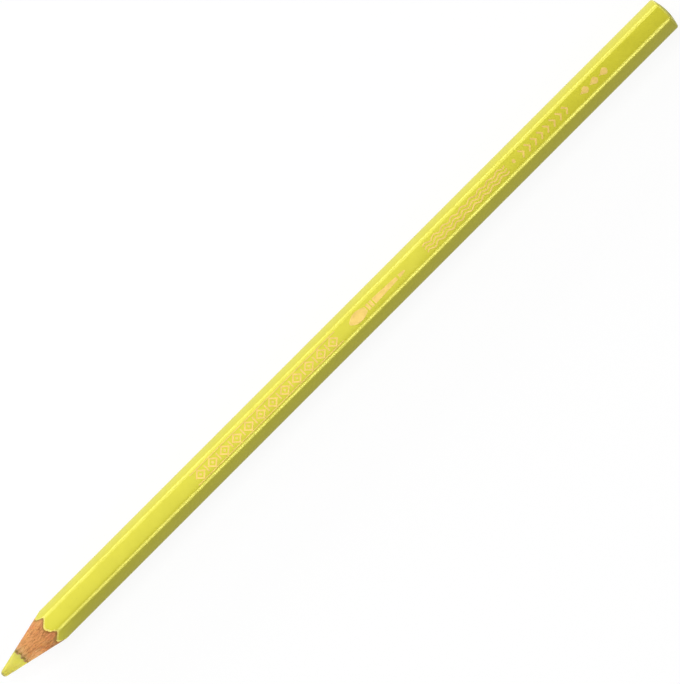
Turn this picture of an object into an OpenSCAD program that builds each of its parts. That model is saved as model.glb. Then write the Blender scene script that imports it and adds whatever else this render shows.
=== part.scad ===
// Hexagonal wood-cased watercolor pencil, lying on one flat with its point towards -X.
// The origin is under the middle of its length, on the surface that it rests on.

/* [Body] */
// Length from the tip of the core to the middle of the butt
pencil_l = 175; // [90:1:240]
// Width across two opposite flats
flats_w = 6.65; // [5.4:0.05:9]
// Radius that rounds the six long edges
edge_r = 1.4; // [0.4:0.05:2]
// Thickness of the lacquer, on the flats and over the butt
lacquer_t = 0.12; // [0.1:0.01:0.3]

/* [Core] */
// Diameter of the pigment core
core_d = 3.25; // [2:0.05:4.2]
// Glue line left around the core
glue_gap = 0.03; // [0.01:0.01:0.1]

/* [Point] */
// Angle between the two sides of the sharpened point, in degrees
point_angle = 25.6; // [18:0.2:40]
// Radius of the blunted tip
tip_r = 0.72; // [0.3:0.02:1.2]

/* [Butt] */
// Radius of the shallow dome on the butt
crown_r = 11; // [7:0.5:40]
// Radius that turns the dome into the sides
rim_r = 0.8; // [0.4:0.05:1.2]

/* [Hidden] */

// Steps in each rounded long edge, and in each arc of a turned outline
edge_steps = 8;
arc_steps = 12;
// How far a cutting shape runs past what it cuts
overrun = 1;

// Where the edge roundings are centred, and how far from the axis a long edge then lies
edge_centre = (flats_w / 2 - edge_r) / cos(30);
edge_reach = edge_centre + edge_r;
// Turned outlines reach a little past the long edges, so no surfaces graze each other
turned_reach = edge_reach + 0.05;

// The cone's sides would meet this far in front of the blunted tip
half_angle = point_angle / 2;
apex_gap = tip_r / sin(half_angle) - tip_r;

// Points of an arc about a centre, from one angle to another
function arc(centre, r, from, to, steps) = [
    for (i = [0:steps])
        let (a = from + (to - from) * i / steps)
        centre + r * [cos(a), sin(a)]
];

// The hexagonal section with rounded corners, set in from the outer surface all round
function section(inset) = [
    for (corner = [30:60:330])
        each arc(edge_centre * [cos(corner), sin(corner)], edge_r - inset, corner - 30, corner + 30, edge_steps)
];

// Half outline of the sharpened pencil: radius first, then distance from the tip
function point_outline() = concat(
    arc([0, tip_r], tip_r, -90, -half_angle, arc_steps),
    [
        [turned_reach, turned_reach / tan(half_angle) - apex_gap],
        [turned_reach, pencil_l + overrun],
        [0, pencil_l + overrun]
    ]
);

// Half outline of the unsharpened blank with its domed butt, set in from the outer surface
function butt_outline(inset) =
    let (
        rim_centre_r = turned_reach - rim_r,
        crown_centre = pencil_l - crown_r,
        rim_centre = crown_centre + sqrt(pow(crown_r - rim_r, 2) - pow(rim_centre_r, 2)),
        blend = atan2(rim_centre - crown_centre, rim_centre_r)
    )
    concat(
        [[0, -overrun], [turned_reach - inset, -overrun]],
        arc([rim_centre_r, rim_centre], rim_r - inset, 0, blend, arc_steps),
        arc([0, crown_centre], crown_r - inset, blend, 90, arc_steps)
    );

// Lays what is built up the Z axis, tip first, along X at its height over the surface
module lay_down() {
    translate([-pencil_l / 2, 0, flats_w / 2]) rotate([0, 90, 0]) children();
}

// What a sharpener leaves of anything inside it
module sharpened() {
    intersection() {
        children();
        rotate_extrude() polygon(point_outline());
    }
}

// The hexagonal blank before sharpening
module blank(inset) {
    intersection() {
        translate([0, 0, -overrun]) linear_extrude(pencil_l + 2 * overrun) polygon(section(inset));
        rotate_extrude() polygon(butt_outline(inset));
    }
}

// One grooved slat: the half of the wood on one side of the glued seam
module slat() {
    difference() {
        sharpened() blank(lacquer_t);
        translate([0, 0, -overrun]) cylinder(d = core_d + 2 * glue_gap, h = pencil_l + 2 * overrun, $fn = 64);
        translate([0, -flats_w, -overrun]) cube([flats_w, 2 * flats_w, pencil_l + 2 * overrun]);
    }
}

// The water-soluble core, from the blunt tip to the lacquer over the butt
module pigment_core() {
    color("#d9d13f") lay_down() sharpened() intersection() {
        translate([0, 0, -overrun]) cylinder(d = core_d, h = pencil_l + 2 * overrun, $fn = 64);
        rotate_extrude() polygon(butt_outline(lacquer_t));
    }
}

// The slat under the printed flat
module casing_upper() {
    color("#cd8c55") lay_down() slat();
}

// The slat that the pencil lies on
module casing_lower() {
    color("#bd7f4c") lay_down() rotate([0, 0, 180]) slat();
}

// The lacquer skin, closed over the butt and cut in scallops by the sharpener
module lacquer_coat() {
    color("#dfd84a") lay_down() difference() {
        sharpened() blank(0);
        blank(lacquer_t);
    }
}

pigment_core();
casing_upper();
casing_lower();
lacquer_coat();
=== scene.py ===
"""Looks of a hexagonal watercolor pencil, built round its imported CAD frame. Everything is in metres."""

import itertools
import math

import bmesh
import bpy
import numpy as np
from mathutils import Matrix, Vector


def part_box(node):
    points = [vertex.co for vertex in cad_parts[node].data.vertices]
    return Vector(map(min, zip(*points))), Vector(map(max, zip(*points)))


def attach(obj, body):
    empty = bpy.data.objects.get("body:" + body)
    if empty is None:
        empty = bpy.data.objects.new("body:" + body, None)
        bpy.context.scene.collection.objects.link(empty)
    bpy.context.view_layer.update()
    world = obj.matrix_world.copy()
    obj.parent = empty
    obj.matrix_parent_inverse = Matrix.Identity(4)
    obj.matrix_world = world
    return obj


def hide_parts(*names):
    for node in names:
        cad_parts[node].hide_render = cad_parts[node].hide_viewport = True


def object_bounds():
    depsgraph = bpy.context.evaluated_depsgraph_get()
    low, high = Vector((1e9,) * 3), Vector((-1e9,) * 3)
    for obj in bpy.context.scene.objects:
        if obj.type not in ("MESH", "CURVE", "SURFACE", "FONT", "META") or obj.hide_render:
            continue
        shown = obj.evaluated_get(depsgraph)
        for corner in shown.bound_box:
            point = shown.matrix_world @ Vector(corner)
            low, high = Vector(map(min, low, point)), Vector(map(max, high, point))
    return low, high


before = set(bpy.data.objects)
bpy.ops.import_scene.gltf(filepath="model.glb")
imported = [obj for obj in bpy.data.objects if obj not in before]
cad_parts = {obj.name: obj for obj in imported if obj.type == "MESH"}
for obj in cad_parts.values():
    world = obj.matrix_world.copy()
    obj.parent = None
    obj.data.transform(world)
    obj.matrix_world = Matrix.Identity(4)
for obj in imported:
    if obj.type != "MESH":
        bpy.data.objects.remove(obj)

CAD_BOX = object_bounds()
MM = 0.001

# ---------------------------------------------------------------- sizes from the frame
LOW, HIGH = CAD_BOX
TIP_X = LOW.x
BUTT_X = HIGH.x
TOP_Z = HIGH.z
AXIS_Z = (LOW.z + HIGH.z) / 2
# Where the axis is across the pencil, for the points that close a skin
AXIS_YZ = (0, AXIS_Z)
FLAT_R = (HIGH.z - LOW.z) / 2
EDGE_REACH = HIGH.y
CORE_LOW, CORE_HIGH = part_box("pigment_core")
CORE_R = (CORE_HIGH.z - CORE_LOW.z) / 2
COAT_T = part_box("casing_lower")[0].z - LOW.z
COAT_END_X = BUTT_X - COAT_T


# ---------------------------------------------------------------- sizes the frame can't give
GLUE_GAP = 0.03 * MM
BORE_R = CORE_R + GLUE_GAP
TIP_R = 0.72 * MM
# The sharpened cone's sides meet at the apex, a little in front of the blunted tip
HALF_ANGLE = math.radians(25.6 / 2)
CONE_SLOPE = math.tan(HALF_ANGLE)
APEX_X = TIP_X - TIP_R * (1 / math.sin(HALF_ANGLE) - 1)
# The dome of the butt, and the roll that turns it into the sides
CROWN_R = 11 * MM
BUTT_ROUND = 0.32 * MM

# The lacquer leaves the flats very slightly convex, on arcs of this radius
CROWN_FLAT_R = 20 * MM
# The rounding of the long edges that joins those arcs and reaches as far out as the frame does
FLAT_BACK = CROWN_FLAT_R - FLAT_R
EDGE_BACK = CROWN_FLAT_R - EDGE_REACH
EDGE_CENTRE = (FLAT_BACK**2 - EDGE_BACK**2) / (2 * (EDGE_BACK - FLAT_BACK * math.cos(math.radians(30))))
EDGE_R = EDGE_REACH - EDGE_CENTRE
FLAT_SWEEP = math.degrees(math.asin(EDGE_CENTRE / 2 / (CROWN_FLAT_R - EDGE_R)))

# Steps round each long edge and across each flat
EDGE_STEPS = 18
FLAT_STEPS = 40
# Rings over the roll of the butt, outside and inside the lacquer
ROLL_STEPS = 12
INNER_ROLL_STEPS = 8


# ---------------------------------------------------------------- helpers: noise and outlines
LATTICE = 32


def lattice(seed):
    """A block of seeded random numbers that noise() blends between."""
    return np.random.default_rng(seed).random((LATTICE, LATTICE, LATTICE)) * 2 - 1


def noise(points, size, seed):
    """Smooth noise from -1 to 1 at each point, with features about size across."""
    table = lattice(seed)
    p = np.asarray(points, float) / size
    cell = np.floor(p).astype(int)
    t = p - cell
    t = t * t * (3 - 2 * t)
    total = np.zeros(p.shape[:-1])
    for corner in itertools.product((0, 1), repeat=3):
        i, j, k = np.moveaxis((cell + corner) % LATTICE, -1, 0)
        wx, wy, wz = np.moveaxis(np.where(corner, t, 1 - t), -1, 0)
        total += table[i, j, k] * wx * wy * wz
    return total


def layered_noise(points, size, seed, layers=3):
    """Noise with finer noise added at half the size and half the strength, and so on."""
    return sum(noise(points, size / 2**n, seed + n) / 2**n for n in range(layers))


def unit(degrees):
    """Direction in the plane across the pencil, from +Y towards +Z."""
    a = np.radians(degrees)
    return np.stack([np.cos(a), np.sin(a)], -1)


def hexagon():
    """Points and outward normals round the section, from its +Y edge over the top."""
    points, normals = [], []
    edge_sweep = 30 - FLAT_SWEEP
    for corner in range(0, 360, 60):
        for k in range(EDGE_STEPS):
            n = unit(corner - edge_sweep + 2 * edge_sweep * k / EDGE_STEPS)
            points.append(EDGE_CENTRE * unit(corner) + EDGE_R * n)
            normals.append(n)
        for k in range(FLAT_STEPS):
            n = unit(corner + edge_sweep + 2 * FLAT_SWEEP * k / FLAT_STEPS)
            points.append(CROWN_FLAT_R * n - FLAT_BACK * unit(corner + 30))
            normals.append(n)
    start = EDGE_STEPS // 2
    return np.roll(points, -start, 0), np.roll(normals, -start, 0)


HEX_POINTS, HEX_NORMALS = hexagon()
AROUND = len(HEX_POINTS)
# 1 on the crest of each long edge, falling to 0 on the flats: where the lacquer's colour carries a painted
# highlight
FACING = np.degrees(np.arctan2(HEX_NORMALS[:, 1], HEX_NORMALS[:, 0]))
CREST = 1 - np.abs((FACING + 30) % 60 - 30) / 30


def outline(inset):
    """The section set in from the outer surface. inset is one length, or one for each point."""
    return HEX_POINTS - np.asarray(inset).reshape(-1, 1) * HEX_NORMALS


def place(x, across):
    """Points in the row frame from places along the pencil and across it."""
    across = np.asarray(across, float)
    x = np.broadcast_to(x, across.shape[:-1])
    return np.stack([x, across[..., 0], across[..., 1] + AXIS_Z], -1)


def radius(across):
    """Distance from the pencil's axis."""
    return np.hypot(across[..., 0], across[..., 1])


def cone_x(r):
    """Where along the pencil the sharpened cone has this radius."""
    return APEX_X + r / CONE_SLOPE


def cone_r(x):
    """The sharpened cone's radius at this place along the pencil."""
    return (x - APEX_X) * CONE_SLOPE


def crown_drop(r):
    """How far the domed butt falls back from its middle at this radius."""
    return CROWN_R - np.sqrt(CROWN_R**2 - r**2)


def dome_rings(middle_x, shares):
    """Rings on a dome whose middle is at middle_x, each a share of the end face's size."""
    face = outline(BUTT_ROUND)
    return [place(middle_x - crown_drop(radius(face * k)), face * k) for k in shares]


def roll_rings(depth, steps):
    """Rings round the butt's edge, at this depth under the outer surface, from the side to the dome."""
    rings = []
    for turn in np.radians(np.linspace(0, 90, steps)):
        across = outline(BUTT_ROUND - (BUTT_ROUND - depth) * math.cos(turn))
        end = BUTT_X - crown_drop(radius(across)) - BUTT_ROUND
        rings.append(place(end + (BUTT_ROUND - depth) * math.sin(turn), across))
    return rings


def spread(start, end, steps, power=1.0):
    """Numbers from start to end, closer together near start if power is over 1."""
    return start + (end - start) * np.linspace(0, 1, steps) ** power


# ---------------------------------------------------------------- helpers: meshes
def make_object(name, points, faces, smooth=True):
    """A mesh object in the scene."""
    mesh = bpy.data.meshes.new(name)
    mesh.from_pydata([tuple(p) for p in points], [], faces)
    mesh.validate()
    mesh.polygons.foreach_set("use_smooth", [smooth] * len(mesh.polygons))
    obj = bpy.data.objects.new(name, mesh)
    bpy.context.scene.collection.objects.link(obj)
    return obj


def grid_faces(rows, columns, wrap):
    """Quads between rows of points. wrap joins the last column to the first."""
    faces = []
    for r in range(rows - 1):
        for c in range(columns if wrap else columns - 1):
            d = (c + 1) % columns
            faces.append((r * columns + c, r * columns + d, (r + 1) * columns + d, (r + 1) * columns + c))
    return faces


def closed_skin(name, rings, first, last):
    """A skin over rings of points, closed by one point at each end."""
    count = len(rings[0])
    points = np.concatenate([*rings, [first, last]])
    faces = grid_faces(len(rings), count, True)
    start, end = len(points) - 2, len(points) - 1
    base = (len(rings) - 1) * count
    faces += [(start, (c + 1) % count, c) for c in range(count)]
    faces += [(end, base + c, base + (c + 1) % count) for c in range(count)]
    return make_object(name, points, faces)


def set_attribute(obj, name, values):
    """Stores one number a point, for the materials."""
    layer = obj.data.attributes.new(name, "FLOAT", "POINT")
    layer.data.foreach_set("value", np.asarray(values, np.float32))


def turn_outward(obj):
    """Turns every face outwards."""
    bm = bmesh.new()
    bm.from_mesh(obj.data)
    bmesh.ops.recalc_face_normals(bm, faces=bm.faces)
    bm.to_mesh(obj.data)
    bm.free()


def add_materials(obj, *materials):
    """Gives a mesh its materials, in order."""
    for material in materials:
        obj.data.materials.append(material)


def use_material(obj, index, first, last):
    """Gives the faces between two rings of a skin one of its materials."""
    for face in range(first * AROUND, last * AROUND):
        obj.data.polygons[face].material_index = index


def finish_piece(obj, node):
    turn_outward(obj)
    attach(obj, "root")
    if node:
        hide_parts(node)
    return obj


# ---------------------------------------------------------------- the paint edge and the wood's front
# The sharpener leaves the paint edge a little chipped, most of all on one side of the upper flat
CHIP_SMALL = 0.08 * MM
CHIP_LARGE = 0.26 * MM
# How many degrees round the section a stretch reaches each way before it has mostly faded
CHIPPED_SPAN = 13
# Section angle and strength of each chipped stretch, and of the places where the paint is worn right back
CHIPPED = ((104, 1.0), (195, 0.6), (268, 0.8), (340, 0.7))
WORN_BACK = ((138, 0.36 * MM), (222, 0.3 * MM), (312, 0.25 * MM))
# How much of each chip reaches the lacquer's outer surface
CHIP_SHOWS = 0.8
# Share of the cut rim that shows bare layers; the lacquer is burnished over the rest
CUT_SHOWS = 0.78
# How far the wood is torn back at the core, and how ragged the rest of its front is
TORN_BACK = 0.4 * MM
RAGGED = 0.09 * MM


def near_angle(angle, places, span):
    """How near each angle is to the strongest of some places, each an angle and a strength."""
    total = np.zeros(len(angle))
    for centre, weight in places:
        away = np.abs((angle - centre + 180) % 360 - 180)
        total = np.maximum(total, weight * np.exp(-((away / span) ** 2)))
    return total


def chips():
    """How far the paint edge is broken back at each point round the section."""
    p = place(0, HEX_POINTS)
    angle = np.degrees(np.arctan2(HEX_POINTS[:, 1], HEX_POINTS[:, 0])) % 360
    fine = CHIP_SMALL * np.abs(layered_noise(p, 0.35 * MM, 11))
    teeth = CHIP_LARGE * np.clip(noise(p, 0.2 * MM, 21) * 1.8 + 0.3, 0, 1)
    chipped = teeth * near_angle(angle, CHIPPED, CHIPPED_SPAN)
    return fine + chipped + near_angle(angle, WORN_BACK, CHIPPED_SPAN)


def ragged_front():
    """Where the wood starts over the core: torn back here and there."""
    p = place(0, CORE_R * HEX_POINTS / radius(HEX_POINTS)[:, None])
    torn = np.clip(noise(p, 0.42 * MM, 31) * 1.3, 0, 1) * TORN_BACK
    return cone_x(BORE_R) + torn + RAGGED * noise(p, 0.16 * MM, 33)


CHIPS = chips()
FRONT_X = ragged_front()
PAINT_INNER_X = cone_x(radius(outline(COAT_T)))
PAINT_OUTER_X = cone_x(radius(outline(0)))


# ---------------------------------------------------------------- lacquer
# The skin's materials, in the order that they are added
CUT, DIPPED = 1, 2
# Rings on the dome, as shares of the end face's size, and how much painted shade and roughness the last four
# get
INNER_DOME = (0.15, 0.5, 0.85)
DOME = (0.9, 0.8, 0.7, 0.6, 0.4, 0.15)
DOME_SHADE_AND_ROUGHNESS = (0.5, 0.8, 1, 1)
# Rings along the sides, closest together at the paint edge
SIDE_STEPS = 60
SIDE_CROWDING = 2.2


def inside_rings(front):
    """Rings inside the lacquer, from the middle of the butt to the cut rim."""
    rings = dome_rings(COAT_END_X, INNER_DOME) + roll_rings(COAT_T, INNER_ROLL_STEPS)[::-1]
    end = rings[-1][:, 0]
    return rings + [place(end + (front - end) * k, outline(COAT_T)) for k in (0.35, 0.7, 0.95, 1)]


def rim_rings(front, back):
    """Rings over the rim that the sharpener cuts through the lacquer."""
    rings = [place(front + (back - front) * k, outline(COAT_T * (1 - k))) for k in (0.4, CUT_SHOWS, 0.9)]
    return rings + [place(back, outline(0))]


def side_rings(front, end):
    """Rings along the outside, between the cut rim and the roll of the butt."""
    shares = spread(0, 0.9995, SIDE_STEPS, SIDE_CROWDING)[1:]
    return [place(front + (end - front) * k, outline(0)) for k in shares]


def lacquer_skin():
    """The lacquer: a closed skin with a cut rim at the cone and a rounded, domed butt."""
    front, back = PAINT_INNER_X + CHIPS, PAINT_OUTER_X + CHIPS * CHIP_SHOWS
    inside, rim, roll = inside_rings(front), rim_rings(front, back), roll_rings(0, ROLL_STEPS)
    rings = inside + rim + side_rings(back, roll[0][:, 0])
    rim_from, roll_from = len(inside) - 1, len(rings)
    rings += roll
    roll_to = len(rings) - 1
    rings += dome_rings(BUTT_X, DOME)
    obj = closed_skin("lacquer_skin", rings, [COAT_END_X, *AXIS_YZ], [BUTT_X, *AXIS_YZ])
    add_materials(obj, lacquer_material(), cut_lacquer_material(), butt_lacquer_material())
    # crest: 1 where the lacquer gets its painted highlight, on the long edges and over the whole roll of the
    # butt
    crest = np.tile(CREST, (len(rings), 1))
    crest[roll_from + 2:roll_to - 3] = 1
    set_attribute(obj, "crest", np.concatenate([crest.ravel(), [0, 0]]))
    # How much painted shade and roughness each point of the dome gets, more towards its middle
    worn = np.zeros((len(rings), AROUND))
    worn[-len(DOME_SHADE_AND_ROUGHNESS):] = np.array(DOME_SHADE_AND_ROUGHNESS)[:, None]
    set_attribute(obj, "butt_shade_and_roughness", np.concatenate([worn.ravel(), [0, 1]]))
    use_material(obj, CUT, rim_from, rim_from + 2)
    use_material(obj, DIPPED, roll_to - 4, len(rings) - 1)
    for face in obj.data.polygons[-AROUND:]:
        face.material_index = DIPPED
    return finish_piece(obj, "lacquer_coat")


# ---------------------------------------------------------------- wood
CONE_ROWS = 170
GROOVE_DEPTH = 0.035 * MM
WAVE_DEPTH = 0.012 * MM
# The relief is full except over one part in this many of the cone at each end, where it fades out
RELIEF_FADE = 12
# Stands for a long way from the core, in millimetres, on wood that is not cut to the cone
FAR_FROM_CORE = 9.0


def grain_relief(p):
    """Shallow grooves along the grain, and broader waves in the cut surface."""
    grooves = -np.clip(noise(p * np.array([0.08, 1, 1]), 0.22 * MM, 41) - 0.25, 0, 1) * GROOVE_DEPTH
    waves = noise(p * np.array([0.5, 1, 1]), 1.2 * MM, 43) * WAVE_DEPTH
    return grooves + waves


def cone_rows(direction, front, paint):
    """Rows over the sharpened cone, from the core to the paint, level at both."""
    rows = []
    for k in spread(0, 1, CONE_ROWS):
        x = front + (paint - front) * k
        across = direction * cone_r(x)[:, None]
        relief = grain_relief(place(x, across)) * np.minimum(1, RELIEF_FADE * min(k, 1 - k))
        rows.append(place(x, across + direction * relief[:, None]))
    return rows


def slat_faces(rows, count):
    """Quads over a slat's rows and along its bore, and the seam's two sides."""
    faces = grid_faces(rows, count, False)
    last = (rows - 1) * count
    faces += [(last + c, last + c + 1, c + 1, c) for c in range(count - 1)]
    faces.append(tuple(r * count for r in range(rows)))
    faces.append(tuple(r * count + count - 1 for r in reversed(range(rows))))
    return faces


def slat(name, node, half):
    """One cedar slat: half of the wood, grooved for the core. half is 0 for the upper, 1 for the lower."""
    pick = (np.arange(AROUND // 2 + 1) + half * (AROUND // 2)) % AROUND
    skin = outline(COAT_T)[pick]
    direction = skin / radius(skin)[:, None]
    front, paint = FRONT_X[pick], PAINT_INNER_X[pick]
    roll = [ring[pick] for ring in roll_rings(COAT_T, INNER_ROLL_STEPS)]
    end = roll[0][:, 0]
    cone = cone_rows(direction, front, paint)
    sides = [place(paint + (end - paint) * k, skin) for k in (0.002, 0.01, 0.1, 0.5, 0.999)]
    covered = sides + roll
    bore = [place(COAT_END_X - crown_drop(BORE_R), direction * BORE_R), place(front, direction * BORE_R)]
    rows = cone + covered + bore
    obj = make_object(name, np.concatenate(rows), slat_faces(len(rows), len(pick)))
    near_core = [(row[:, 0] - front) / MM for row in cone]
    near_core += [np.full(len(pick), FAR_FROM_CORE)] * len(covered)
    near_paint = [(paint - row[:, 0]) / MM for row in cone + covered]
    in_bore = np.zeros(2 * len(pick))
    set_attribute(obj, "near_core", np.concatenate([*near_core, in_bore]))
    set_attribute(obj, "near_paint", np.concatenate([*near_paint, in_bore]))
    add_materials(obj, cedar_material())
    return finish_piece(obj, node)


# ---------------------------------------------------------------- core
CORE_STEPS = 128
# How uneven the ground part is, in broad patches and in fine marks
PATCH_DEPTH = 0.02 * MM
MARK_DEPTH = 0.006 * MM


def lead_profile():
    """Places along the pigment core and its radius there, from the blunt tip to the lacquer."""
    centre_x = TIP_X + TIP_R
    profile = []
    for a in np.linspace(math.radians(84), HALF_ANGLE, 18):
        profile.append((centre_x - TIP_R * math.sin(a), TIP_R * math.cos(a)))
    end = cone_x(CORE_R)
    profile += [(x, cone_r(x)) for x in np.linspace(profile[-1][0], end, 110)[1:]]
    back = COAT_END_X - crown_drop(CORE_R)
    return profile + [(x, CORE_R) for x in (end + 0.3 * MM, end + 1.5 * MM, back)]


def ground_relief(p):
    """How far the ground part of the core stands off its even shape."""
    patches = noise(p, 0.5 * MM, 51) * PATCH_DEPTH
    return patches + noise(p * np.array([3, 1, 1]), 0.3 * MM, 53) * MARK_DEPTH


def core():
    """The pigment core: blunt tip, unevenly ground cone, and the rod inside the wood."""
    turn = unit(np.linspace(0, 360, CORE_STEPS, endpoint=False))
    rings = []
    for x, r in lead_profile():
        relief = ground_relief(place(x, turn * r)) if r < CORE_R else np.zeros(CORE_STEPS)
        rings.append(place(x, turn * (r + relief)[:, None]))
    obj = closed_skin("pigment_lead", rings, [TIP_X, *AXIS_YZ], [COAT_END_X, *AXIS_YZ])
    add_materials(obj, pigment_material())
    return finish_piece(obj, "pigment_core")


# ---------------------------------------------------------------- foil ornament
# How deep the foil's underside is sunk in the upper flat, and how far it stands proud
FOIL_SUNK = 0.004 * MM
FOIL_PROUD = 0.008 * MM
# Fits the ornament's layout, in millimetres from the tip, to the length of the pencil
LAYOUT_SCALE = 0.98868
# A dot is left this wide at its two ends
NARROWEST = 0.02 * MM


def from_tip(d):
    """A place along the pencil, given in the layout's millimetres from the tip."""
    return TIP_X + d * LAYOUT_SCALE * MM


class Foil:
    """Thin foil shapes on the upper flat, each a closed strip between two lines of points."""

    def __init__(self):
        self.points, self.faces = [], []

    def strip(self, left, right, closed=False):
        """Foil between two lines of points. closed joins its end to its start."""
        n, base = len(left), len(self.points)
        for z in (TOP_Z - FOIL_SUNK, TOP_Z + FOIL_PROUD):
            for side in (left, right):
                self.points += [(x, y, z) for x, y in side]
        low_l, low_r, top_l, top_r = (base + k * n for k in range(4))
        for i in range(n if closed else n - 1):
            j = (i + 1) % n
            self.faces.append((top_l + i, top_r + i, top_r + j, top_l + j))
            self.faces.append((low_l + i, low_l + j, low_r + j, low_r + i))
            self.faces.append((top_l + i, top_l + j, low_l + j, low_l + i))
            self.faces.append((top_r + i, low_r + i, low_r + j, top_r + j))
        if not closed:
            for i in (0, n - 1):
                self.faces.append((top_l + i, low_l + i, low_r + i, top_r + i))

    def line(self, path, width, closed=False):
        """A line of even width along a path."""
        path = np.asarray(path, float)
        if closed:
            ahead, behind = np.roll(path, -1, 0), np.roll(path, 1, 0)
        else:
            ahead = np.vstack([path[1:], 2 * path[-1] - path[-2]])
            behind = np.vstack([2 * path[0] - path[1], path[:-1]])
        into = (path - behind) / np.linalg.norm(path - behind, axis=1)[:, None]
        out = (ahead - path) / np.linalg.norm(ahead - path, axis=1)[:, None]
        mean = into + out
        mean /= np.linalg.norm(mean, axis=1)[:, None]
        side = np.stack([-mean[:, 1], mean[:, 0]], -1)
        mitre = 1 / np.maximum(np.abs((mean * into).sum(1)), 0.4)
        half = side * (width / 2 * mitre)[:, None]
        self.strip(path + half, path - half, closed)

    def spindle(self, start, end, width_at, steps=24):
        """A filled shape along X whose width follows a function of 0 to 1."""
        t = np.linspace(0, 1, steps)
        x = start + (end - start) * t
        w = np.array([width_at(v) for v in t]) / 2
        self.strip(np.stack([x, w], -1), np.stack([x, -w], -1))

    def dot(self, start, end, width, steps):
        """A small round dot from start to end."""
        self.spindle(start, end, lambda t: max(width * math.sin(math.pi * t), NARROWEST), steps)

    def piece(self, name):
        """The piece made of all the shapes so far."""
        obj = make_object(name, self.points, self.faces, smooth=False)
        add_materials(obj, foil_material())
        return finish_piece(obj, None)


def lozenge_band():
    """A band of lozenges between two rules, with a dot in each and a bar between them."""
    foil = Foil()
    start, end, pitch = 51.5, 90, 3.2
    # Half sizes: the lozenges along and across, the gap between the rules, the bars and the dots
    long, tall, rule, bar, dot = 1.05 * MM, 0.95 * MM, 1.24 * MM, 0.75 * MM, 0.28 * MM
    thin, bold = 0.16 * MM, 0.3 * MM
    for y in (-rule, rule):
        foil.line([(from_tip(start), y), (from_tip(end), y)], thin)
    count = int((end - start) / pitch)
    for k in range(count):
        x = from_tip(start + pitch * (k + 0.5) + 0.1)
        foil.line([(x - long, 0), (x, tall), (x + long, 0), (x, -tall)], bold, closed=True)
        foil.dot(x - dot, x + dot, 2 * dot, steps=14)
        if k < count - 1:
            between = x + pitch / 2 * MM
            foil.line([(between, -bar), (between, bar)], bold)
    return foil.piece("foil_lozenges")


def tuft_width(t):
    """A brush's tuft: pointed first, widest half way, narrower at the ferrule."""
    return 2.1 * MM * math.sin(math.pi * min(0.02 + t**0.8 * 0.83, 1)) + 0.05 * MM


def brush_mark():
    """A plain brush: pointed tuft, banded ferrule and tapered handle."""
    foil = Foil()
    foil.spindle(from_tip(92.9), from_tip(97.2), tuft_width, steps=30)
    for start, end in ((97.5, 98.1), (98.35, 98.95)):
        foil.spindle(from_tip(start), from_tip(end), lambda t: 1.3 * MM, steps=4)
    foil.spindle(from_tip(99.25), from_tip(105.4), lambda t: (1.25 - 0.55 * t) * MM, steps=12)
    foil.spindle(from_tip(105.9), from_tip(107.5), lambda t: (0.7 - 0.5 * t * t) * MM, steps=12)
    return foil.piece("foil_brush")


def water_waves():
    """Three wavy lines and a dot."""
    foil = Foil()
    start, end, wave, height, gap = 113, 134.6, 2.4, 0.22, 0.72
    d = np.linspace(start, end, 160)
    for y in (-gap, 0.0, gap):
        path = [(from_tip(v), (y + height * math.sin(2 * math.pi * (v - start) / wave)) * MM) for v in d]
        foil.line(path, 0.27 * MM)
    foil.dot(from_tip(136.1), from_tip(136.9), 0.8 * MM, steps=16)
    return foil.piece("foil_waves")


def arrow_row():
    """A row of chevrons."""
    foil = Foil()
    for k in range(8):
        x = from_tip(138.3 + 1.65 * k)
        foil.line([(x, 0.85 * MM), (x + 0.75 * MM, 0), (x, -0.85 * MM)], 0.34 * MM)
    return foil.piece("foil_chevrons")


def drop_width(t):
    """A water drop: its narrow tail first, widest at two thirds."""
    return 1.35 * MM * math.sin(math.pi * min(0.03 + 0.94 * t**1.7, 1)) + 0.03 * MM


def drop_row():
    """Three water drops."""
    foil = Foil()
    for k in range(3):
        x = from_tip(154.2 + 2.5 * k)
        foil.spindle(x, x + 2.0 * MM, drop_width, steps=26)
    return foil.piece("foil_drops")


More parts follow.
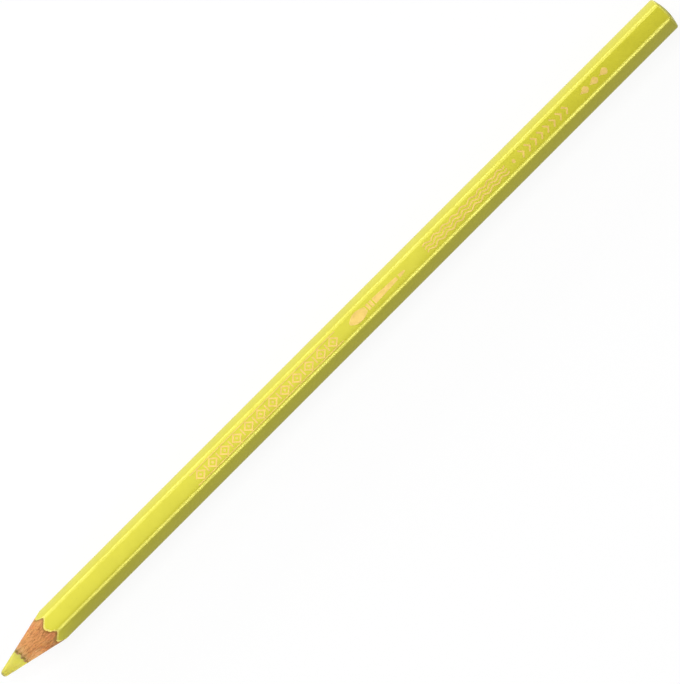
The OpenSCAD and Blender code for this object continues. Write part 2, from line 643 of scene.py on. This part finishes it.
# ---------------------------------------------------------------- materials
class Shader:
    """One material's nodes, with short calls to add and join them."""

    def __init__(self, name):
        self.material = bpy.data.materials.new(name)
        self.material.use_nodes = True
        self.nodes = self.material.node_tree.nodes
        self.links = self.material.node_tree.links
        self.main = self.nodes["Principled BSDF"]
        self.object = self.nodes.new("ShaderNodeTexCoord").outputs["Object"]

    def feed(self, socket, value):
        """Joins a socket to another node, or sets it."""
        if isinstance(value, bpy.types.NodeSocket):
            self.links.new(value, socket)
        elif value is not None:
            socket.default_value = value

    def math(self, operation, a, b=None):
        node = self.nodes.new("ShaderNodeMath")
        node.operation = operation
        self.feed(node.inputs[0], a)
        self.feed(node.inputs[1], b)
        return node.outputs[0]

    def times(self, a, b):
        return self.math("MULTIPLY", a, b)

    def plus(self, a, b):
        return self.math("ADD", a, b)

    def millimetres(self, stretch=(1, 1, 1)):
        """Object coordinates in millimetres, each axis scaled."""
        node = self.nodes.new("ShaderNodeMapping")
        self.feed(node.inputs["Vector"], self.object)
        node.inputs["Scale"].default_value = [s / MM for s in stretch]
        return node.outputs[0]

    def axes(self, vector):
        """The X, Y and Z of a vector."""
        node = self.nodes.new("ShaderNodeSeparateXYZ")
        self.feed(node.inputs[0], vector)
        return node.outputs[0], node.outputs[1], node.outputs[2]

    def noise(self, vector, scale, detail=2.0, roughness=0.5, distortion=0.0):
        """Noise with scale features in each unit of the vector."""
        node = self.nodes.new("ShaderNodeTexNoise")
        self.feed(node.inputs["Vector"], vector)
        settings = {"Scale": scale, "Detail": detail, "Roughness": roughness, "Distortion": distortion}
        for name, value in settings.items():
            node.inputs[name].default_value = value
        return node.outputs["Fac"]

    def ramp(self, factor, *stops):
        """Blends along (place, brightness or colour) stops."""
        node = self.nodes.new("ShaderNodeValToRGB")
        self.feed(node.inputs[0], factor)
        elements = node.color_ramp.elements
        while len(elements) < len(stops):
            elements.new(0.5)
        for element, (place_at, value) in zip(elements, stops):
            element.position = place_at
            element.color = (*value, 1) if isinstance(value, tuple) else (value, value, value, 1)
        return node.outputs[0]

    def blend(self, factor, start, end, first=0.0, last=1.0):
        """Goes from first to last, brightness or colour, as factor goes from start to end."""
        return self.ramp(factor, (start, first), (end, last))

    def mix(self, factor, a, b):
        """Goes from colour a to colour b as factor goes from 0 to 1."""
        node = self.nodes.new("ShaderNodeMix")
        node.data_type, node.blend_type = "RGBA", "MIX"
        self.feed(node.inputs[0], factor)
        for socket, value in ((node.inputs[6], a), (node.inputs[7], b)):
            self.feed(socket, (*value, 1) if isinstance(value, tuple) else value)
        return node.outputs[2]

    def attribute(self, name):
        """A number stored by set_attribute()."""
        node = self.nodes.new("ShaderNodeAttribute")
        node.attribute_name = name
        return node.outputs["Fac"]

    def bump(self, height, distance, normal=None):
        """A normal that shows height as relief this deep."""
        node = self.nodes.new("ShaderNodeBump")
        node.inputs["Strength"].default_value = 1.0
        node.inputs["Distance"].default_value = distance
        self.feed(node.inputs["Height"], height)
        self.feed(node.inputs["Normal"], normal)
        return node.outputs[0]

    def scatter(self, weight, depth, colour):
        """Lets light into the surface: how much, how deep, and each colour's share of that depth."""
        self.set(Subsurface_Weight=weight, Subsurface_Scale=depth)
        self.main.inputs["Subsurface Radius"].default_value = colour

    def set(self, **sockets):
        """Sets or joins the main shader's sockets, with _ for each space in a name."""
        for name, value in sockets.items():
            value = (*value, 1) if isinstance(value, tuple) else value
            self.feed(self.main.inputs[name.replace("_", " ")], value)
        return self.material


# Linear colours. Tones are the darker and the lighter side of a surface's clouding.
LACQUER_TONES = (0.65, 0.604, 0.026), (0.69, 0.642, 0.03)
LACQUER_SPECK = (0.42, 0.38, 0.02)
# Painted highlight on the crest of the long edges and over the butt's roll
LACQUER_EDGE_HIGHLIGHT = (0.735, 0.695, 0.09)
LACQUER_GLEAM = (1, 0.95, 0.25)
BUTT_TONES = (0.66, 0.615, 0.03), (0.76, 0.71, 0.07)
# Painted shade: the darker olive tones of the butt dome's middle
BUTT_PAINTED_SHADE_TONES = (0.44, 0.42, 0.022), (0.54, 0.51, 0.03)
BUTT_SCUFF = (0.3, 0.27, 0.03)
CUT_TONES = (0.78, 0.68, 0.09), (0.9, 0.78, 0.18)
CEDAR_TONES = (0.66, 0.29, 0.09), (0.82, 0.4, 0.14)
CEDAR_FIBRE = (0.45, 0.175, 0.052)
CEDAR_LATE_WOOD = (0.33, 0.115, 0.034)
CEDAR_STREAK = (0.27, 0.085, 0.022)
CEDAR_BLUSH = (0.78, 0.25, 0.13)
# Painted shade in the torn gaps where the wood meets the core
CEDAR_SHADE_AT_CORE = (0.25, 0.135, 0.005)
CEDAR_AT_PAINT = (0.36, 0.165, 0.028)
CEDAR_SCATTER = (1.0, 0.7, 0.45)
PIGMENT_TONES = (0.6, 0.55, 0.034), (0.7, 0.645, 0.054)
# Painted shade: darker pigment towards the tip, greyish olive at its very end
PIGMENT_SHADE_NEAR_TIP = (0.44, 0.4, 0.03)
PIGMENT_SHADE_AT_TIP = (0.2, 0.185, 0.06)
PIGMENT_SCATTER = (1.0, 0.9, 0.4)
FOIL_TONES = (0.62, 0.425, 0.085), (0.72, 0.5, 0.12)
FOIL_RUBBED = (0.7, 0.63, 0.06)


def lacquer_material():
    """Glossy yellow lacquer, drawn along the pencil, with a painted highlight along its long edges and round
    the butt's roll, and faint clouding and specks.
    """
    s = Shader("yellow_lacquer")
    p = s.millimetres()
    cloud = s.noise(p, 0.22, 3, 0.55)
    colour = s.blend(cloud, 0.3, 0.7, *LACQUER_TONES)
    speck = s.blend(s.noise(p, 2.6, 2, 0.6), 0.66, 0.74)
    colour = s.mix(s.times(speck, 0.3), colour, LACQUER_SPECK)
    # Painted highlight: paler lacquer colour on the crest of each long edge and over the butt's roll
    crest = s.blend(s.attribute("crest"), 0.15, 0.6)
    colour = s.mix(s.times(crest, s.blend(cloud, 0.3, 0.6, 0.35, 0.8)), colour, LACQUER_EDGE_HIGHLIGHT)
    drawn = s.noise(s.millimetres((0.03, 5, 5)), 1, 2, 0.5)
    peel = s.noise(p, 0.9, 1, 0.4)
    rough = s.blend(s.noise(p, 0.5, 2, 0.6), 0.3, 0.75, 0.16, 0.22)
    normal = s.bump(peel, 0.0006 * MM)
    normal = s.bump(drawn, 0.0012 * MM, normal)
    s.set(Specular_IOR_Level=1.0, Specular_Tint=LACQUER_GLEAM)
    return s.set(Base_Color=colour, Roughness=rough, Normal=normal)


def butt_lacquer_material():
    """The duller lacquer of the dipped butt, with painted shade darkening its middle, which is also rougher.
    """
    s = Shader("butt_lacquer")
    p = s.millimetres()
    cloud = s.noise(p, 0.9, 3, 0.6)
    shade_and_roughness = s.attribute("butt_shade_and_roughness")
    # Painted shade: the middle of the dome is mixed towards darker olive tones
    colour = s.mix(shade_and_roughness, s.blend(cloud, 0.3, 0.7, *BUTT_TONES), s.blend(cloud, 0.3, 0.7, *BUTT_PAINTED_SHADE_TONES))
    scuff = s.blend(s.noise(p, 3.2, 3, 0.65), 0.6, 0.72)
    colour = s.mix(s.times(scuff, 0.4), colour, BUTT_SCUFF)
    rough = s.blend(shade_and_roughness, 0.0, 0.8, 0.3, 0.62)
    normal = s.bump(s.noise(p, 1.6, 3, 0.55), 0.012 * MM)
    s.set(Specular_IOR_Level=0.06, Specular_Tint=LACQUER_GLEAM)
    return s.set(Base_Color=colour, Roughness=rough, Normal=normal)


def cut_lacquer_material():
    """The lacquer's cut edge: paler, matt layers."""
    s = Shader("cut_lacquer")
    p = s.millimetres()
    colour = s.blend(s.noise(p, 4, 3, 0.6), 0.3, 0.7, *CUT_TONES)
    return s.set(Base_Color=colour, Roughness=0.6, Normal=s.bump(s.noise(p, 9, 2), 0.01 * MM))


def cedar_material():
    """Sharpened cedar: fine wavy grain along the pencil, painted shade in the torn gaps at the core, and
    darker under the paint.
    """
    s = Shader("cedar")
    p = s.millimetres()
    y, z = s.axes(p)[1:]
    wander = s.noise(s.millimetres((0.45, 0.8, 0.8)), 1, 3, 0.55)
    ring = s.plus(s.plus(s.times(z, 0.9), s.times(y, 1.25)), s.times(wander, 2.6))
    late = s.ramp(s.math("FRACT", s.times(ring, 1.15)), (0.0, 0.4), (0.1, 0.0), (0.7, 0.0), (0.96, 1.0))
    fibre = s.blend(s.noise(s.millimetres((0.5, 6, 6)), 1, 3, 0.65, 0.4), 0.38, 0.66)
    streak = s.blend(s.noise(s.millimetres((0.8, 3.6, 3.6)), 1, 3, 0.7, 0.6), 0.55, 0.66)
    blush = s.blend(s.noise(p, 0.55, 1, 0.5), 0.56, 0.68)
    broad = s.noise(s.millimetres((0.3, 0.6, 0.6)), 1, 2, 0.5)
    colour = s.blend(broad, 0.3, 0.65, *CEDAR_TONES)
    colour = s.mix(s.times(fibre, 0.4), colour, CEDAR_FIBRE)
    colour = s.mix(s.times(late, 0.5), colour, CEDAR_LATE_WOOD)
    colour = s.mix(s.times(streak, 0.75), colour, CEDAR_STREAK)
    colour = s.mix(s.times(blush, 0.24), colour, CEDAR_BLUSH)
    ragged = s.noise(p, 3.2, 2, 0.6)
    notch = s.blend(s.noise(p, 2.0, 1, 0.5), 0.45, 0.58, 0.15, 1.0)
    # Painted shade: dark notches where the wood meets the core stand for shade in the torn gaps
    shade_at_core = s.blend(s.plus(s.attribute("near_core"), s.times(ragged, -0.75)), 0.0, 0.2, 1.0, 0.0)
    at_paint = s.blend(s.plus(s.attribute("near_paint"), s.times(ragged, -0.4)), 0.0, 0.24, 1.0, 0.0)
    colour = s.mix(s.times(shade_at_core, notch), colour, CEDAR_SHADE_AT_CORE)
    colour = s.mix(s.times(at_paint, 0.7), colour, CEDAR_AT_PAINT)
    normal = s.bump(late, 0.03 * MM, s.bump(fibre, 0.02 * MM))
    s.scatter(0.75, 1.6 * MM, CEDAR_SCATTER)
    return s.set(Base_Color=colour, Roughness=0.72, Normal=normal, Specular_IOR_Level=0.3)


def pigment_material():
    """The core: waxy yellow pigment with grinding marks, and painted shade darkening it towards the blunt
    tip.
    """
    s = Shader("yellow_pigment")
    p = s.millimetres()
    grain = s.noise(p, 6, 3, 0.6)
    colour = s.blend(grain, 0.3, 0.7, *PIGMENT_TONES)
    behind_tip = s.math("SUBTRACT", s.axes(p)[0], TIP_X / MM)
    # Painted shade: the pigment darkens towards the blunt tip, to a greyish olive at its very end
    shade_near_tip = s.blend(s.times(behind_tip, 0.18), 0.1, 0.95, 0.45, 0.0)
    shade_at_tip = s.blend(s.plus(behind_tip, s.times(s.noise(p, 2.5, 2), 0.6)), 0.5, 1.0, 1.0, 0.0)
    colour = s.mix(shade_near_tip, colour, PIGMENT_SHADE_NEAR_TIP)
    colour = s.mix(s.times(shade_at_tip, 0.85), colour, PIGMENT_SHADE_AT_TIP)
    marks = s.noise(s.millimetres((9, 1, 1)), 1, 2, 0.5)
    normal = s.bump(grain, 0.012 * MM, s.bump(marks, 0.01 * MM))
    rough = s.blend(grain, 0.3, 0.7, 0.42, 0.6)
    s.scatter(1.0, 3 * MM, PIGMENT_SCATTER)
    return s.set(Base_Color=colour, Roughness=rough, Normal=normal)


def foil_material():
    """Pale gold stamping foil, a little worn. All the foil pieces share it."""
    found = bpy.data.materials.get("stamped_foil")
    if found:
        return found
    s = Shader("stamped_foil")
    p = s.millimetres()
    worn = s.blend(s.noise(p, 3.2, 3, 0.65), 0.62, 0.7)
    colour = s.blend(s.noise(p, 0.8, 2), 0.3, 0.7, *FOIL_TONES)
    colour = s.mix(s.times(worn, 0.6), colour, FOIL_RUBBED)
    metal = s.blend(worn, 0.0, 1.0, 0.35, 0.05)
    normal = s.bump(s.noise(p, 5, 2), 0.004 * MM)
    return s.set(Base_Color=colour, Metallic=metal, Roughness=0.32, Normal=normal)


# ---------------------------------------------------------------- camera
LENS = 800
SENSOR = 36
CLIP_NEAR, CLIP_FAR = 0.01, 20
# The picture's longer side where the pencil is, and where the camera aims from the pencil's middle
FIELD = 127.34 * MM
AIM_RIGHT = 0.976 * MM
AIM_UP = 0.192 * MM
VIEW_TILT = math.radians(6.5)
VIEW_ROLL = math.radians(45)


def make_camera():
    """Nearly overhead, tilted a little to -Y, with the pencil running to the upper right."""
    back = Vector((0, -math.sin(VIEW_TILT), math.cos(VIEW_TILT)))
    side = Vector((1, 0, 0))
    level = back.cross(side)
    right = side * math.cos(VIEW_ROLL) - level * math.sin(VIEW_ROLL)
    up = side * math.sin(VIEW_ROLL) + level * math.cos(VIEW_ROLL)
    data = bpy.data.cameras.new("camera")
    data.lens, data.sensor_width = LENS, SENSOR
    data.clip_start, data.clip_end = CLIP_NEAR, CLIP_FAR
    camera = bpy.data.objects.new("camera", data)
    bpy.context.scene.collection.objects.link(camera)
    target = Vector(((LOW.x + HIGH.x) / 2, 0, AXIS_Z)) + right * AIM_RIGHT + up * AIM_UP
    turn = Matrix((right, up, back)).transposed()
    camera.matrix_world = Matrix.Translation(target + back * FIELD * LENS / SENSOR) @ turn.to_4x4()
    bpy.context.scene.camera = camera


# ---------------------------------------------------------------- floor and world
FLOOR_HALF = 3.0
# The floor's glow and grey where it is seen directly, and its grey for the light that it throws back
FLOOR_GLOW = 0.905
FLOOR_LIT = 0.12
FLOOR_PLAIN = 0.08
WORLD_LIGHT = 0.02


def seen_directly(nodes, links):
    """1 for camera, glossy and transmission rays, so that gloss and glass show the same white."""
    path = nodes.new("ShaderNodeLightPath")
    total = path.outputs["Is Camera Ray"]
    for name in ("Is Glossy Ray", "Is Transmission Ray"):
        node = nodes.new("ShaderNodeMath")
        node.operation, node.use_clamp = "ADD", True
        links.new(total, node.inputs[0])
        links.new(path.outputs[name], node.inputs[1])
        total = node.outputs[0]
    return total


def grey_diffuse(nodes, grey):
    """A plain matt grey."""
    node = nodes.new("ShaderNodeBsdfDiffuse")
    node.inputs["Color"].default_value = (grey, grey, grey, 1)
    return node.outputs[0]


def floor_material():
    """White where it is seen directly, less the shadows on it, and a plain grey for all other light."""
    material = bpy.data.materials.new("pale_floor")
    material.use_nodes = True
    nodes, links = material.node_tree.nodes, material.node_tree.links
    nodes.clear()
    glow = nodes.new("ShaderNodeEmission")
    glow.inputs["Strength"].default_value = FLOOR_GLOW
    white = nodes.new("ShaderNodeAddShader")
    links.new(grey_diffuse(nodes, FLOOR_LIT), white.inputs[0])
    links.new(glow.outputs[0], white.inputs[1])
    mix = nodes.new("ShaderNodeMixShader")
    links.new(seen_directly(nodes, links), mix.inputs[0])
    links.new(grey_diffuse(nodes, FLOOR_PLAIN), mix.inputs[1])
    links.new(white.outputs[0], mix.inputs[2])
    output = nodes.new("ShaderNodeOutputMaterial")
    links.new(mix.outputs[0], output.inputs[0])
    return material


def make_floor():
    """A plain pale floor that looks white and keeps the pencil's shadow."""
    h = FLOOR_HALF
    corners = [(-h, -h, 0), (h, -h, 0), (h, h, 0), (-h, h, 0)]
    floor = make_object("floor", corners, [(0, 1, 2, 3)], smooth=False)
    floor.data.materials.append(floor_material())


def make_world():
    """Even dim light all round, which looks white."""
    world = bpy.data.worlds.new("studio")
    world.use_nodes = True
    bpy.context.scene.world = world
    nodes, links = world.node_tree.nodes, world.node_tree.links
    strength = nodes.new("ShaderNodeMapRange")
    links.new(seen_directly(nodes, links), strength.inputs[0])
    strength.inputs["To Min"].default_value = WORLD_LIGHT
    strength.inputs["To Max"].default_value = 1.0
    background = nodes["Background"]
    background.inputs["Color"].default_value = (1, 1, 1, 1)
    links.new(strength.outputs[0], background.inputs["Strength"])


# ---------------------------------------------------------------- lamps
# Each lamp: degrees from straight up towards -Y, metres along X, distance, size along X and across,
# radiance, and where along X it is aimed
LAMPS = {
    "window": (-80, 0.0, 3.0, (6.0, 0.84), 5.7, 0.0),
    "middle": (-56, 0.0, 3.0, (2.4, 0.84), 2.2, 0.0),
    "key": (-32, 0.0, 3.0, (2.4, 0.84), 4.05, 0.0),
    "softbox": (-10, -0.175, 0.5, (0.45, 0.2), 2.34, -0.175),
    "inner_strip": (26, 0.15, 8.0, (1.1, 3.2), 4.0, 0.15),
    "strip": (47, 0.15, 8.0, (0.9, 3.0), 11.2, 0.15),
    "low_strip": (69, 0.15, 8.0, (1.0, 2.6), 4.9, 0.15),
    "front": (78, TIP_X - 0.5, 0.09, (0.4, 0.036), 20.0, TIP_X),
    "back": (0, BUTT_X + 0.5, 0.02, (0.4, 0.036), 16.0, BUTT_X),
}
# A small lamp with a snoot lifts the shaded side of the sharpened point: lean, along, distance, aim
SNOOT = (84, TIP_X - 0.15, 0.12, TIP_X + 0.0078)
SNOOT_POWER = 1.6
SNOOT_ANGLE = 3.8
SNOOT_RADIUS = 0.004


def hang_lamp(data, lean, along, distance, aim):
    """Puts a lamp round the pencil from straight up, facing a place on the pencil's axis."""
    lamp = bpy.data.objects.new(data.name, data)
    a = math.radians(lean)
    lamp.location = (along, -distance * math.sin(a), AXIS_Z + distance * math.cos(a))
    lamp.rotation_euler = (Vector((aim, 0, AXIS_Z)) - lamp.location).to_track_quat("-Z", "Y").to_euler()
    bpy.context.scene.collection.objects.link(lamp)


def make_lights():
    """Soft rectangular lamps round the pencil, and the snooted one at its point."""
    for name, (lean, along, distance, (length, width), radiance, aim) in LAMPS.items():
        data = bpy.data.lights.new(name, "AREA")
        data.shape, data.size, data.size_y = "RECTANGLE", length, width
        data.energy = radiance * math.pi * length * width
        hang_lamp(data, lean, along, distance, aim)
    data = bpy.data.lights.new("snoot", "SPOT")
    data.energy, data.shadow_soft_size = SNOOT_POWER, SNOOT_RADIUS
    data.spot_size, data.spot_blend = math.radians(SNOOT_ANGLE), 1.0
    hang_lamp(data, *SNOOT)


# ---------------------------------------------------------------- build
bpy.context.scene.view_settings.view_transform = "Standard"
make_camera()
make_floor()
make_world()
make_lights()
lacquer_skin()
slat("cedar_upper", "casing_upper", 0)
slat("cedar_lower", "casing_lower", 1)
core()
lozenge_band()
brush_mark()
water_waves()
arrow_row()
drop_row()
